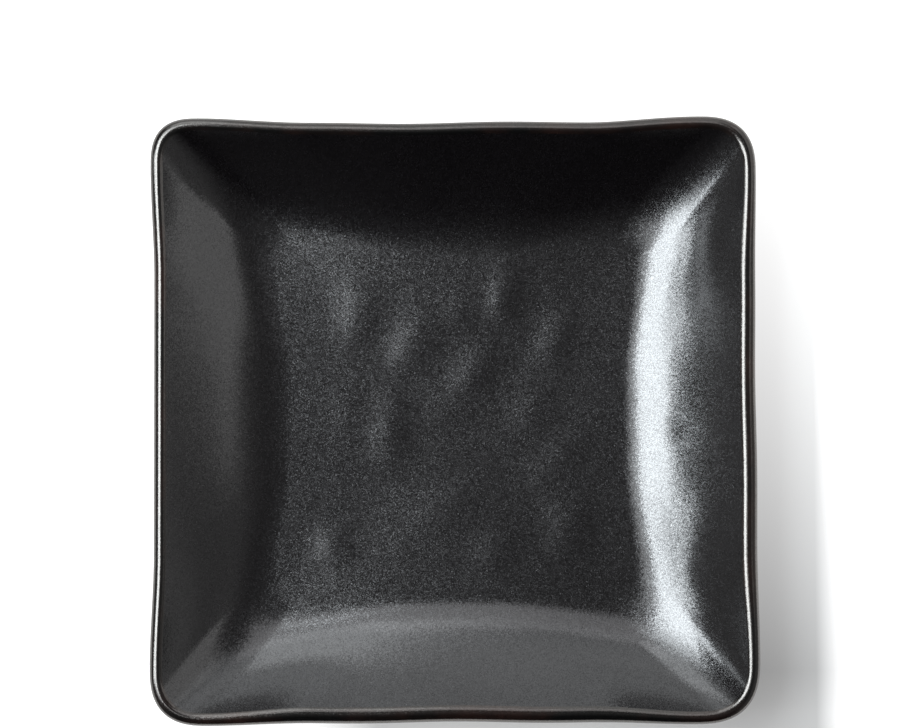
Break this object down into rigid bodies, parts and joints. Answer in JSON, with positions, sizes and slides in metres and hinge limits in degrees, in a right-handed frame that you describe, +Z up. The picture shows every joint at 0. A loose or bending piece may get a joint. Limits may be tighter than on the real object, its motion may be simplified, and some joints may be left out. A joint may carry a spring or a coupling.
{
  "type": "square dinner plate",
  "caption": "Square stoneware dinner plate in satin black glaze, with a rounded wavy lip, sloping walls, a hand-marked floor and a bare foot ring.",
  "frame": {"origin": "centre of the plane that the foot ring stands on", "axes": "+Z up out of the well, X and Y along the sides, +Y towards the far side in the picture"},
  "size_m": [0.2668, 0.2668, 0.038],
  "materials": {
    "clay": "bare fired stoneware, matt and slightly gritty",
    "satin_glaze": "satin black glaze with a fine speckled grain",
    "rim_glaze": "glossy black glaze, thinner and browner on the edge"
  },
  "bodies": {
    "root": {"stoneware_body": "clay", "foot_ring": "clay", "well_glaze": "satin_glaze", "rim_glaze": "rim_glaze", "outer_glaze": "satin_glaze", "base_glaze": "satin_glaze"}
  },
  "joints": []
}
